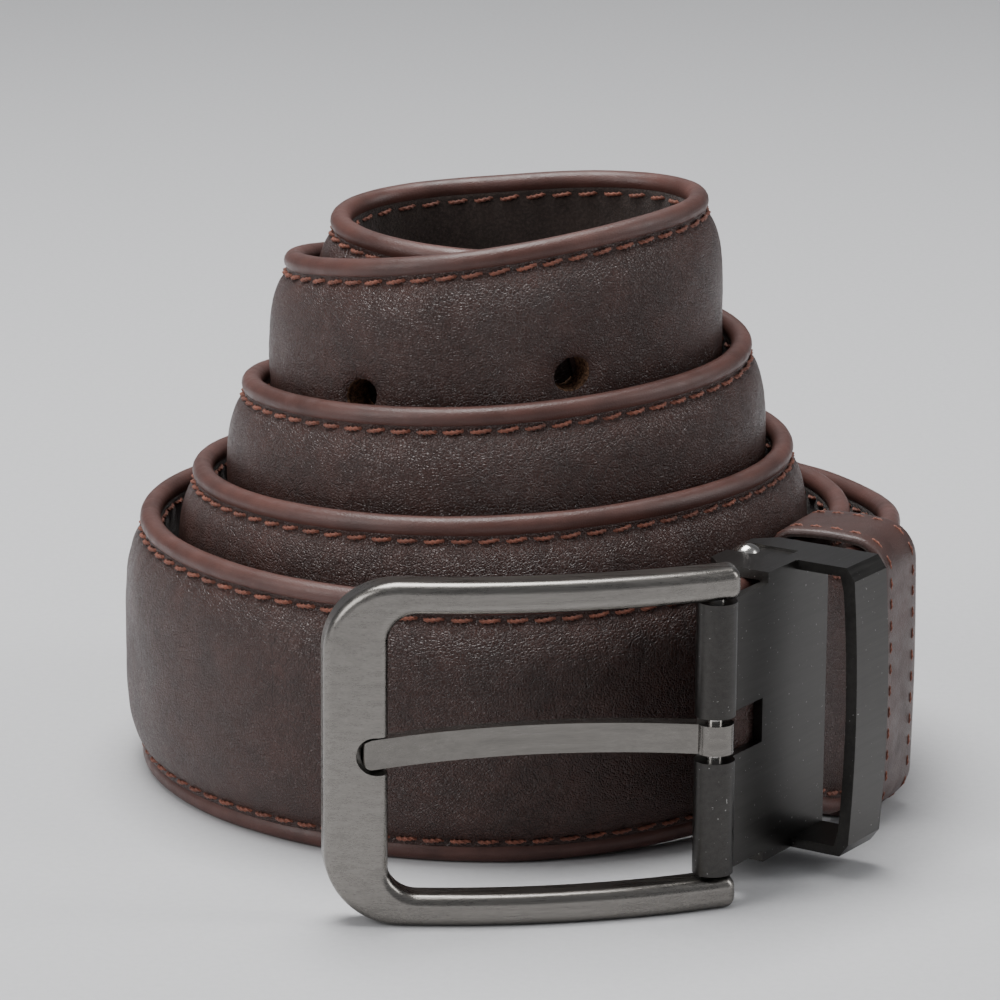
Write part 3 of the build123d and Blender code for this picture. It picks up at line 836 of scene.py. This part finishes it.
class BELT_OT_make_strap_face(bpy.types.Operator):
    """Make the padded face leather, with its grain, puckers and punched holes"""

    bl_idname = "belt.make_strap_face"
    bl_label = "Strap face"

    def execute(self, context):
        look, stitch = context.scene.belt_strap, context.scene.belt_stitches
        heights = half_heights(FACE_EDGE_ROWS)

        def surface(s, z):
            from_edge = np.minimum(z, WIDTH - z)
            t = np.clip((WIDTH / 2 - from_edge) / (WIDTH / 2 - CROWN_START), 0, 1)
            full = LINE.swell(s)
            crown = look.crown * full + PRESSED_CROWN * (1 - full)
            bulge = (1 - t**4) ** 0.72
            n = look.margin + (crown - look.margin) * bulge
            n = np.where(from_edge < UNDER_ROLL, TUCKED_PLACE, n)
            beat = 0.5 + 0.5 * np.cos(tau * s / stitch.pitch)
            groove = np.exp(-(((from_edge - stitch.line_height) / 0.00045) ** 2))
            n = n - 0.00016 * groove * (0.35 + beat)
            pucker = np.exp(-np.maximum(from_edge - 0.0032, 0) / 0.0016) * (t < 0.999)
            n = n - 0.00010 * pucker * beat * full
            n = n + 0.00005 * full * wander(s + 0.6 * z, 3, 0.009) * bulge
            n = n + 0.00004 * full * wander(s - 0.9 * z, 5, 0.004) * bulge
            n = n - 0.00045 * near_hole(s, z, 0.0011)
            n = n + 0.00010 * near_hole(s, z, 0.0032) * wander(s * 0.8 + z, 8, 0.0028)
            return n

        piece = strap_layer(
            "strap_face",
            heights,
            surface,
            lambda s: np.full_like(s, -0.0004),
            (0.12, 0.4, 0.7, 1.0),
            [grained_leather(look), raw_fibre()],
        )
        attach(piece, "strap")
        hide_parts("strap_face_leather", "strap_padding")
        return {"FINISHED"}


class BELT_OT_make_lining(bpy.types.Operator):
    """Make the napped lining on the back of the strap"""

    bl_idname = "belt.make_lining"
    bl_label = "Lining"

    def execute(self, context):
        look, stitch = context.scene.belt_strap, context.scene.belt_stitches
        heights = half_heights(LINING_EDGE_ROWS)

        def surface(s, z):
            from_edge = np.minimum(z, WIDTH - z)
            n = -look.lining_side + 0.00003 * wander(s + 0.7 * z, 21, 0.006)
            beat = 0.5 + 0.5 * np.cos(tau * s / stitch.pitch)
            groove = np.exp(-(((from_edge - stitch.line_height) / 0.0005) ** 2))
            n = n + 0.00014 * groove * (0.3 + beat)
            n = n + 0.00018 * near_hole(s, z, 0.0009)
            return np.where(from_edge < 0.002, -look.lining_side + 0.0004, n)

        piece = strap_layer(
            "strap_lining_nap",
            heights,
            surface,
            lambda s: np.full_like(s, -0.0005),
            (0.4, 1.0),
            [napped_lining(look), raw_fibre()],
            inwards=True,  # its detailed side faces the middle of the coil
        )
        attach(piece, "strap")
        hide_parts("strap_lining")
        return {"FINISHED"}


class BELT_OT_make_edges(bpy.types.Operator):
    """Make the rolled edges along the top, the bottom and the tip"""

    bl_idname = "belt.make_edges"
    bl_label = "Rolled edges"

    def execute(self, context):
        look = context.scene.belt_strap
        leather = smooth_leather("rolled edge leather", look.edge_colour)
        radius = look.roll_radius
        along = np.arange(0, LINE.length, EDGE_STEP)
        along = np.append(along, LINE.length)
        dome = [k * pi / 12 for k in range(1, 6)]
        angles = np.linspace(0, tau, EDGE_SIDES, endpoint=False)
        for name, middle, seed in (
            ("rolled_edge_top", WIDTH - radius, 31),
            ("rolled_edge_bottom", radius, 32),
        ):
            size = radius * (1 + 0.018 * wander(along, seed, 0.012))
            s = np.concatenate((along, LINE.length + radius * np.sin(dome)))
            r = np.concatenate((size, radius * np.cos(dome)))
            rings = [
                LINE.points(np.full(EDGE_SIDES, a), b * np.cos(angles), middle + b * np.sin(angles))
                for a, b in zip(s, r)
            ]
            piece = sweep_rings(name, rings, [leather])
            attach(piece, "strap")
            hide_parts(name.replace("rolled_edge", "edge_bead"))
        heights = np.linspace(radius, WIDTH - radius, 40)
        rings = [
            LINE.points(
                LINE.length + radius * 0.98 * np.cos(angles),
                radius * 0.98 * np.sin(angles),
                np.full(EDGE_SIDES, z),
            )
            for z in heights
        ]
        piece = sweep_rings("rolled_edge_tip", [ring[::-1] for ring in rings], [leather])
        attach(piece, "strap")
        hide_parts("edge_bead_tip")
        return {"FINISHED"}


class BELT_OT_make_stitching(bpy.types.Operator):
    """Make the four rows of stitches along the strap"""

    bl_idname = "belt.make_stitching"
    bl_label = "Strap stitching"

    def execute(self, context):
        look, stitch = context.scene.belt_strap, context.scene.belt_stitches
        thread = twisted_thread(look)
        start = CLAMP_END - STRAP_START + 0.001
        along = np.arange(start, LINE.length - 0.002, THREAD_STEP)
        turn = LINE.turn(along)
        out = np.column_stack((outward(turn), np.zeros(len(along))))
        sizes = {
            "Pitch": stitch.pitch,
            "Stitch Length": stitch.stitch_length,
            "Thread Width": stitch.thread_width,
            "Lean": stitch.lean,
            "Twists": 2.2,
        }
        lines = {"top": WIDTH - stitch.line_height, "bottom": stitch.line_height}
        for name, height in lines.items():
            up = np.full(len(along), height)
            for side, facing in (("face", 1.0), ("lining", -1.0)):
                if facing > 0:
                    across = np.full(len(along), look.margin + 0.00010)
                else:
                    across = np.full(len(along), -look.lining_side - 0.00002)
                points = LINE.points(along, across, up)
                piece = stitch_row(side + "_stitches_" + name, points, out * facing, thread, sizes)
                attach(piece, "strap")
                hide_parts(side + "_stitching_" + name)
        return {"FINISHED"}


def keeper_path(corner, inner_corner):
    """Closed line of the keeper in (outward, up), and its outward-pointing normals."""
    y0, y1 = KEEPER_INSIDE, KEEPER_OUTSIDE
    z0, z1 = KEEPER_BOTTOM, KEEPER_TOP
    points, normals = [], []
    corners = (
        (y1 - corner, z0 + corner, -90, corner),
        (y1 - corner, z1 - corner, 0, corner),
        (y0 + inner_corner, z1 - inner_corner, 90, inner_corner),
        (y0 + inner_corner, z0 + inner_corner, 180, inner_corner),
    )
    for k, (y, z, start, r) in enumerate(corners):
        for i in range(BEND_STEPS + 1):
            a = radians(start + 90 * i / BEND_STEPS)
            points.append((y + r * cos(a), z + r * sin(a)))
            normals.append((cos(a), sin(a)))
        after = corners[(k + 1) % 4]
        a = radians(start + 90)
        here = np.array(points[-1])
        there = np.array((after[0], after[1])) + after[3] * np.array((cos(a), sin(a)))
        count = max(int(np.linalg.norm(there - here) / KEEPER_STEP), 2)
        for i in range(1, count):
            share = i / count
            bow = KEEPER_BOW * sin(pi * share)
            spot = here + (there - here) * share + bow * np.array((cos(a), sin(a)))
            points.append(tuple(spot))
            normals.append((cos(a), sin(a)))
    return np.array(points), np.array(normals)


def keeper_points(x, y, z):
    """Keeper coordinates (back along the strap, outward, up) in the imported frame."""
    turn = np.array(KEEPER_TURN)
    along, out = direction(turn), outward(turn)
    spot = MIDDLE + strap_xy(turn)
    xy = spot - np.multiply.outer(x, along) + np.multiply.outer(y, out)
    return np.column_stack((xy, z))


class BELT_OT_make_keeper(bpy.types.Operator):
    """Make the sliding leather keeper with its lining and stitches"""

    bl_idname = "belt.make_keeper"
    bl_label = "Keeper"

    def execute(self, context):
        size, look = context.scene.belt_keeper, context.scene.belt_strap
        leather = smooth_leather("keeper leather", size.leather_colour, 0.40, 0.3)
        line, normal = keeper_path(size.corner, size.inner_corner)
        half = size.width / 2
        outer = [(half * k, 0.0) for k in np.linspace(0.86, -0.86, 11)]
        crown = [(x, -0.00004 - 0.00012 * (x / half) ** 6) for x, _ in outer]
        split = size.wall - size.lining
        groups = {
            "keeper_strap": crown
            + [
                (-half * 0.95, -0.00018),
                (-half, -0.00042),
                (-half, -split),
                (half, -split),
                (half, -0.00042),
                (half * 0.95, -0.00018),
            ],
            "keeper_strap_lining": [
                (-half * 0.985, -split - 0.00001),
                (-half * 0.985, -size.wall),
                (half * 0.985, -size.wall),
                (half * 0.985, -split - 0.00001),
            ],
        }
        nodes = {"keeper_strap": "keeper_leather", "keeper_strap_lining": "keeper_lining"}
        finish = {"keeper_strap": leather, "keeper_strap_lining": napped_lining(look)}
        for name, section in groups.items():
            rings = []
            for (y, z), (ny, nz) in zip(line, normal):
                x = np.array([p[0] for p in section])
                d = np.array([p[1] for p in section])
                rings.append(keeper_points(x, y + ny * d, z + nz * d))
            if name == "keeper_strap_lining":
                rings = [ring[::-1] for ring in rings]
            piece = sweep_rings(name, [r[::-1] for r in rings], [finish[name]], closed=True)
            piece.data.set_sharp_from_angle(angle=radians(50))
            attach(piece, "keeper")
            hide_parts(nodes[name])
        thread = twisted_thread(look)
        sizes = {
            "Pitch": 0.0029,
            "Stitch Length": 0.0021,
            "Thread Width": 0.00045,
            "Lean": 0.0001,
            "Twists": 1.8,
        }
        turn = np.array(KEEPER_TURN)
        out = outward(turn)
        for name, side in (("front", -1.0), ("rear", 1.0)):
            x = np.full(len(line), side * size.stitch_at)
            sunk = line - size.thread_sink * normal
            points = keeper_points(x, sunk[:, 0], sunk[:, 1])
            facing = np.column_stack((np.multiply.outer(normal[:, 0], out), normal[:, 1]))
            piece = stitch_row("keeper_stitches_" + name, points, facing, thread, sizes, closed=True)
            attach(piece, "keeper")
            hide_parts("keeper_stitching_" + name)
        return {"FINISHED"}


class BELT_OT_finish_metal(bpy.types.Operator):
    """Give the buckle's metal parts their brushed and satin finishes"""

    bl_idname = "belt.finish_metal"
    bl_label = "Metal"

    def execute(self, context):
        look = context.scene.belt_metal
        frame_metal = brushed_metal("brushed gunmetal", look.frame_colour, 0.30, FRAME_WAY, 0.10)
        prong_metal = brushed_metal(
            "polished gunmetal", scaled(look.frame_colour, 0.8), 0.24, FRAME_WAY, 0.12
        )
        housing_metal = brushed_metal(
            "satin black nickel", look.housing_colour, 0.36, HOUSING_WAY, 0.12, 0.5
        )
        pin_metal = brushed_metal("bright pin metal", look.pin_colour, 0.18, 0.0, 0.1)
        finishes = {
            "buckle_frame": frame_metal,
            "prong": prong_metal,
            "clamp_housing": housing_metal,
            "clamp_jaw": housing_metal,
            "clamp_pin": pin_metal,
            "hinge_pin": pin_metal,
            "keeper_staple": pin_metal,
        }
        for node, metal in finishes.items():
            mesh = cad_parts[node].data
            mesh.materials.clear()
            mesh.materials.append(metal)
        return {"FINISHED"}


class BELT_OT_make_stage(bpy.types.Operator):
    """Make the pale floor, the soft light and the camera"""

    bl_idname = "belt.make_stage"
    bl_label = "Stage"

    def execute(self, context):
        stage = context.scene.belt_stage
        f = Finish("pale paper")
        tone = f.fit(f.noise(900, 3), 0.3, 0.7)
        pale = stage.floor_colour
        paper = f.finish(
            Base_Color=f.blend(tone, scaled(pale, 0.97), scaled(pale, 1.02)),
            Roughness=0.85,
            Specular_IOR_Level=0.2,
        )
        outline = [(-3.0, 0.0), (1.1, 0.0)]
        outline += [(1.1 + 0.5 * sin(a), 0.5 - 0.5 * cos(a)) for a in np.linspace(0, pi / 2, 13)[1:]]
        outline.append((1.6, 3.0))
        points = [(x, y, z) for y, z in outline for x in (-3.0, 3.0)]
        faces = [(2 * i, 2 * i + 1, 2 * i + 3, 2 * i + 2) for i in range(len(outline) - 1)]
        sweep = new_piece("paper_sweep", points, faces, [paper])
        world = context.scene.world or bpy.data.worlds.new("Soft room")
        context.scene.world = world
        world.use_nodes = True
        world.node_tree.nodes["Background"].inputs["Color"].default_value = (0.80, 0.82, 0.86, 1)
        world.node_tree.nodes["Background"].inputs["Strength"].default_value = 0.32
        spot = Vector((MIDDLE[0], MIDDLE[1], 0.03))
        for name, place, size, power in (
            ("overhead_softbox", (-0.10, 0.10, 0.75), (0.55, 0.40), stage.light),
            ("left_softbox", (-0.75, -0.45, 0.45), (0.5, 0.6), stage.light * 0.45),
            ("right_strip", (0.75, -0.10, 0.40), (0.2, 0.6), stage.light * 0.25),
        ):
            lamp = bpy.data.lights.new(name, "AREA")
            lamp.shape = "RECTANGLE"
            lamp.size, lamp.size_y = size
            lamp.energy = power
            light = bpy.data.objects.new(name, lamp)
            context.scene.collection.objects.link(light)
            light.location = spot + Vector(place)
            light.rotation_mode = "QUATERNION"
            light.rotation_quaternion = (spot - light.location).to_track_quat("-Z", "Y")
        data = bpy.data.cameras.new("front_camera")
        data.lens, data.sensor_width = stage.lens, 36.0
        data.clip_start, data.clip_end = 0.01, 20.0
        camera = bpy.data.objects.new("front_camera", data)
        context.scene.collection.objects.link(camera)
        aim = Vector((MIDDLE[0] - 0.0003, MIDDLE[1], stage.aim_height))
        back = Vector((0, -cos(stage.pitch), sin(stage.pitch)))
        camera.location = aim + back * stage.distance
        camera.rotation_mode = "QUATERNION"
        look = (-back).to_track_quat("-Z", "Y")
        camera.rotation_quaternion = look @ Quaternion((0, 0, 1), stage.roll)
        context.scene.camera = camera
        return {"FINISHED"}


class BELT_PT_panel(bpy.types.Panel):
    """Lists every step of making the belt."""

    bl_idname = "BELT_PT_panel"
    bl_label = "Leather Belt"
    bl_space_type = "VIEW_3D"
    bl_region_type = "UI"
    bl_category = "Belt"

    def draw(self, context):
        for step in STEPS:
            self.layout.operator(step.bl_idname)
        for name in SETTINGS:
            settings = getattr(context.scene, name)
            for prop in settings.bl_rna.properties:
                if prop.identifier not in ("rna_type", "name"):
                    self.layout.prop(settings, prop.identifier)


STEPS = (
    BELT_OT_make_stage,
    BELT_OT_make_strap_face,
    BELT_OT_make_lining,
    BELT_OT_make_edges,
    BELT_OT_make_stitching,
    BELT_OT_make_keeper,
    BELT_OT_finish_metal,
)
SETTINGS = {
    "belt_strap": BeltStrapSettings,
    "belt_stitches": BeltStitchSettings,
    "belt_keeper": BeltKeeperSettings,
    "belt_metal": BeltMetalSettings,
    "belt_stage": BeltStageSettings,
}


def register():
    for group in SETTINGS.values():
        bpy.utils.register_class(group)
    for step in STEPS:
        bpy.utils.register_class(step)
    bpy.utils.register_class(BELT_PT_panel)
    for name, group in SETTINGS.items():
        setattr(bpy.types.Scene, name, bpy.props.PointerProperty(type=group))


def unregister():
    for name in SETTINGS:
        delattr(bpy.types.Scene, name)
    bpy.utils.unregister_class(BELT_PT_panel)
    for step in reversed(STEPS):
        bpy.utils.unregister_class(step)
    for group in SETTINGS.values():
        bpy.utils.unregister_class(group)


def main():
    register()
    for step in STEPS:
        group, name = step.bl_idname.split(".")
        getattr(getattr(bpy.ops, group), name)()


if __name__ == "__main__":
    main()
